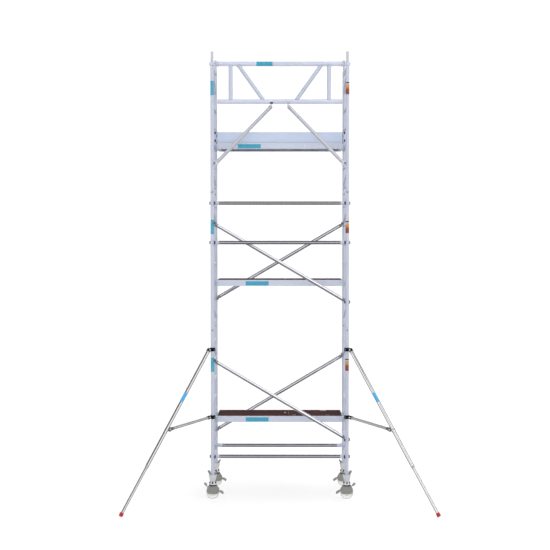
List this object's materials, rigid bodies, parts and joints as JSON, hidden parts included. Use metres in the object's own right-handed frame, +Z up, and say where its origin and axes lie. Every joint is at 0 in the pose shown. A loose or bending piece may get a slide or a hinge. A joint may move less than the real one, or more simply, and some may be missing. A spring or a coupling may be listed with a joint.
{
  "type": "mobile tower scaffold",
  "caption": "Mobile aluminium tower scaffold with ladder end frames, hatch platforms, braces, guard rails, adjustable braked castors and telescopic stabilisers.",
  "frame": {"origin": "on the ground, midway between the outer faces of the stabiliser feet at the front and the castor nuts at the rear, and midway between the two ends", "axes": "+X along the platforms to the right seen from the front, +Y from the stabiliser side to the rear, +Z up"},
  "size_m": [4.3352, 2.1182, 6.365],
  "materials": {
    "anodised_frame": "satin, ribbed",
    "aluminium_tube": "mill finish, worn",
    "platform_aluminium": "satin extrusion",
    "film_faced_plywood": "phenolic film with an anti-slip print",
    "galvanised_steel": "galvanised",
    "cast_nut": "zinc plated casting",
    "pressed_fork": "plated pressing",
    "nylon_wheel": "moulded nylon",
    "black_clamp": "moulded, matt",
    "red_rubber": "matt rubber"
  },
  "bodies": {
    "tower": {"frame_left_low": "anodised_frame", "frame_left_mid": "anodised_frame", "frame_left_top": "anodised_frame", "frame_right_low": "anodised_frame", "frame_right_mid": "anodised_frame", "frame_right_top": "anodised_frame", "horizontal_front": "aluminium_tube", "horizontal_rear": "aluminium_tube", "guard_rail_knee": "aluminium_tube", "guard_rail_hand": "aluminium_tube", "diagonal_low_front": "aluminium_tube", "diagonal_low_rear": "aluminium_tube", "diagonal_mid_front": "aluminium_tube", "diagonal_mid_rear": "aluminium_tube", "guardrail_panel": "anodised_frame", "guardrail_arm_left": "anodised_frame", "guardrail_arm_right": "anodised_frame", "platform_frame_low": "platform_aluminium", "deck_low": "film_faced_plywood", "platform_frame_mid": "platform_aluminium", "deck_mid": "film_faced_plywood", "platform_frame_top": "platform_aluminium", "deck_top": "film_faced_plywood", "toe_board_front": "platform_aluminium", "toe_board_rear": "platform_aluminium", "toe_board_left": "platform_aluminium", "toe_board_right": "platform_aluminium"},
    "hatch_lid_low": {"hatch_low": "film_faced_plywood"},
    "hatch_lid_mid": {"hatch_mid": "film_faced_plywood"},
    "hatch_lid_top": {"hatch_top": "film_faced_plywood"},
    "nut_front_left": {"adjusting_nut_front_left": "cast_nut"},
    "leg_front_left": {"spindle_front_left": "galvanised_steel"},
    "fork_front_left": {"castor_fork_front_left": "pressed_fork"},
    "wheel_front_left": {"castor_wheel_front_left": "nylon_wheel"},
    "brake_front_left": {"brake_rocker_front_left": "pressed_fork"},
    "nut_front_right": {"adjusting_nut_front_right": "cast_nut"},
    "leg_front_right": {"spindle_front_right": "galvanised_steel"},
    "fork_front_right": {"castor_fork_front_right": "pressed_fork"},
    "wheel_front_right": {"castor_wheel_front_right": "nylon_wheel"},
    "brake_front_right": {"brake_rocker_front_right": "pressed_fork"},
    "nut_rear_left": {"adjusting_nut_rear_left": "cast_nut"},
    "leg_rear_left": {"spindle_rear_left": "galvanised_steel"},
    "fork_rear_left": {"castor_fork_rear_left": "pressed_fork"},
    "wheel_rear_left": {"castor_wheel_rear_left": "nylon_wheel"},
    "brake_rear_left": {"brake_rocker_rear_left": "pressed_fork"},
    "nut_rear_right": {"adjusting_nut_rear_right": "cast_nut"},
    "leg_rear_right": {"spindle_rear_right": "galvanised_steel"},
    "fork_rear_right": {"castor_fork_rear_right": "pressed_fork"},
    "wheel_rear_right": {"castor_wheel_rear_right": "nylon_wheel"},
    "brake_rear_right": {"brake_rocker_rear_right": "pressed_fork"},
    "stabiliser_left": {"stabiliser_clamp_left": "black_clamp", "stabiliser_tube_left": "aluminium_tube", "stabiliser_strut_left": "aluminium_tube"},
    "stabiliser_leg_left": {"stabiliser_inner_tube_left": "aluminium_tube", "stabiliser_foot_left": "red_rubber"},
    "stabiliser_right": {"stabiliser_clamp_right": "black_clamp", "stabiliser_tube_right": "aluminium_tube", "stabiliser_strut_right": "aluminium_tube"},
    "stabiliser_leg_right": {"stabiliser_inner_tube_right": "aluminium_tube", "stabiliser_foot_right": "red_rubber"}
  },
  "joints": [
    {"name": "hatch_hinge_low", "type": "hinge", "parent": "tower", "child": "hatch_lid_low", "pos_m": [0.1325, 0.78359, 1.171], "axis": [-1, 0, 0], "range_deg": [0, 95]},
    {"name": "hatch_hinge_mid", "type": "hinge", "parent": "tower", "child": "hatch_lid_mid", "pos_m": [0.1325, 0.78359, 3.131], "axis": [-1, 0, 0], "range_deg": [0, 95]},
    {"name": "hatch_hinge_top", "type": "hinge", "parent": "tower", "child": "hatch_lid_top", "pos_m": [0.1325, 0.78359, 5.091], "axis": [-1, 0, 0], "range_deg": [0, 95]},
    {"name": "nut_turn_front_left", "type": "hinge", "parent": "tower", "child": "nut_front_left", "pos_m": [-0.9575, 0.10109, 0.3], "axis": [0, 0, 1], "range_deg": [0, 9000]},
    {"name": "leg_height_front_left", "type": "slide", "parent": "tower", "child": "leg_front_left", "axis": [0, 0, -1], "range_m": [0, 0.2]},
    {"name": "swivel_front_left", "type": "hinge", "parent": "leg_front_left", "child": "fork_front_left", "pos_m": [-0.9575, 0.10109, 0.19], "axis": [0, 0, 1], "continuous": true},
    {"name": "wheel_spin_front_left", "type": "hinge", "parent": "fork_front_left", "child": "wheel_front_left", "pos_m": [-0.9575, 0.10109, 0.0925], "axis": [0, 1, 0], "continuous": true},
    {"name": "brake_rock_front_left", "type": "hinge", "parent": "fork_front_left", "child": "brake_front_left", "pos_m": [-0.9575, 0.10109, 0.14], "axis": [0, -1, 0], "range_deg": [0, 12]},
    {"name": "nut_turn_front_right", "type": "hinge", "parent": "tower", "child": "nut_front_right", "pos_m": [0.9575, 0.10109, 0.3], "axis": [0, 0, 1], "range_deg": [0, 9000]},
    {"name": "leg_height_front_right", "type": "slide", "parent": "tower", "child": "leg_front_right", "axis": [0, 0, -1], "range_m": [0, 0.2]},
    {"name": "swivel_front_right", "type": "hinge", "parent": "leg_front_right", "child": "fork_front_right", "pos_m": [0.9575, 0.10109, 0.19], "axis": [0, 0, 1], "continuous": true},
    {"name": "wheel_spin_front_right", "type": "hinge", "parent": "fork_front_right", "child": "wheel_front_right", "pos_m": [0.9575, 0.10109, 0.0925], "axis": [0, 1, 0], "continuous": true},
    {"name": "brake_rock_front_right", "type": "hinge", "parent": "fork_front_right", "child": "brake_front_right", "pos_m": [0.9575, 0.10109, 0.14], "axis": [0, 1, 0], "range_deg": [0, 12]},
    {"name": "nut_turn_rear_left", "type": "hinge", "parent": "tower", "child": "nut_rear_left", "pos_m": [-0.9575, 1.00109, 0.3], "axis": [0, 0, 1], "range_deg": [0, 9000]},
    {"name": "leg_height_rear_left", "type": "slide", "parent": "tower", "child": "leg_rear_left", "axis": [0, 0, -1], "range_m": [0, 0.2]},
    {"name": "swivel_rear_left", "type": "hinge", "parent": "leg_rear_left", "child": "fork_rear_left", "pos_m": [-0.9575, 1.00109, 0.19], "axis": [0, 0, 1], "continuous": true},
    {"name": "wheel_spin_rear_left", "type": "hinge", "parent": "fork_rear_left", "child": "wheel_rear_left", "pos_m": [-0.9575, 1.00109, 0.0925], "axis": [0, 1, 0], "continuous": true},
    {"name": "brake_rock_rear_left", "type": "hinge", "parent": "fork_rear_left", "child": "brake_rear_left", "pos_m": [-0.9575, 1.00109, 0.14], "axis": [0, -1, 0], "range_deg": [0, 12]},
    {"name": "nut_turn_rear_right", "type": "hinge", "parent": "tower", "child": "nut_rear_right", "pos_m": [0.9575, 1.00109, 0.3], "axis": [0, 0, 1], "range_deg": [0, 9000]},
    {"name": "leg_height_rear_right", "type": "slide", "parent": "tower", "child": "leg_rear_right", "axis": [0, 0, -1], "range_m": [0, 0.2]},
    {"name": "swivel_rear_right", "type": "hinge", "parent": "leg_rear_right", "child": "fork_rear_right", "pos_m": [0.9575, 1.00109, 0.19], "axis": [0, 0, 1], "continuous": true},
    {"name": "wheel_spin_rear_right", "type": "hinge", "parent": "fork_rear_right", "child": "wheel_rear_right", "pos_m": [0.9575, 1.00109, 0.0925], "axis": [0, 1, 0], "continuous": true},
    {"name": "brake_rock_rear_right", "type": "hinge", "parent": "fork_rear_right", "child": "brake_rear_right", "pos_m": [0.9575, 1.00109, 0.14], "axis": [0, 1, 0], "range_deg": [0, 12]},
    {"name": "stabiliser_swing_left", "type": "hinge", "parent": "tower", "child": "stabiliser_left", "pos_m": [-0.9575, 0.10109, 1.179], "axis": [0, 0, 1], "range_deg": [-40, 40]},
    {"name": "stabiliser_extend_left", "type": "slide", "parent": "stabiliser_left", "child": "stabiliser_leg_left", "axis": [-0.4272, -0.4089, -0.8064], "range_m": [0, 0.45]},
    {"name": "stabiliser_swing_right", "type": "hinge", "parent": "tower", "child": "stabiliser_right", "pos_m": [0.9575, 0.10109, 1.179], "axis": [0, 0, 1], "range_deg": [-40, 40]},
    {"name": "stabiliser_extend_right", "type": "slide", "parent": "stabiliser_right", "child": "stabiliser_leg_right", "axis": [0.4272, -0.4089, -0.8064], "range_m": [0, 0.45]}
  ],
  "couplings": [
    {"joint": "leg_height_front_left", "follows": "nut_turn_front_left", "m_per_rad": 0.001273},
    {"joint": "leg_height_front_right", "follows": "nut_turn_front_right", "m_per_rad": 0.001273},
    {"joint": "leg_height_rear_left", "follows": "nut_turn_rear_left", "m_per_rad": 0.001273},
    {"joint": "leg_height_rear_right", "follows": "nut_turn_rear_right", "m_per_rad": 0.001273}
  ]
}
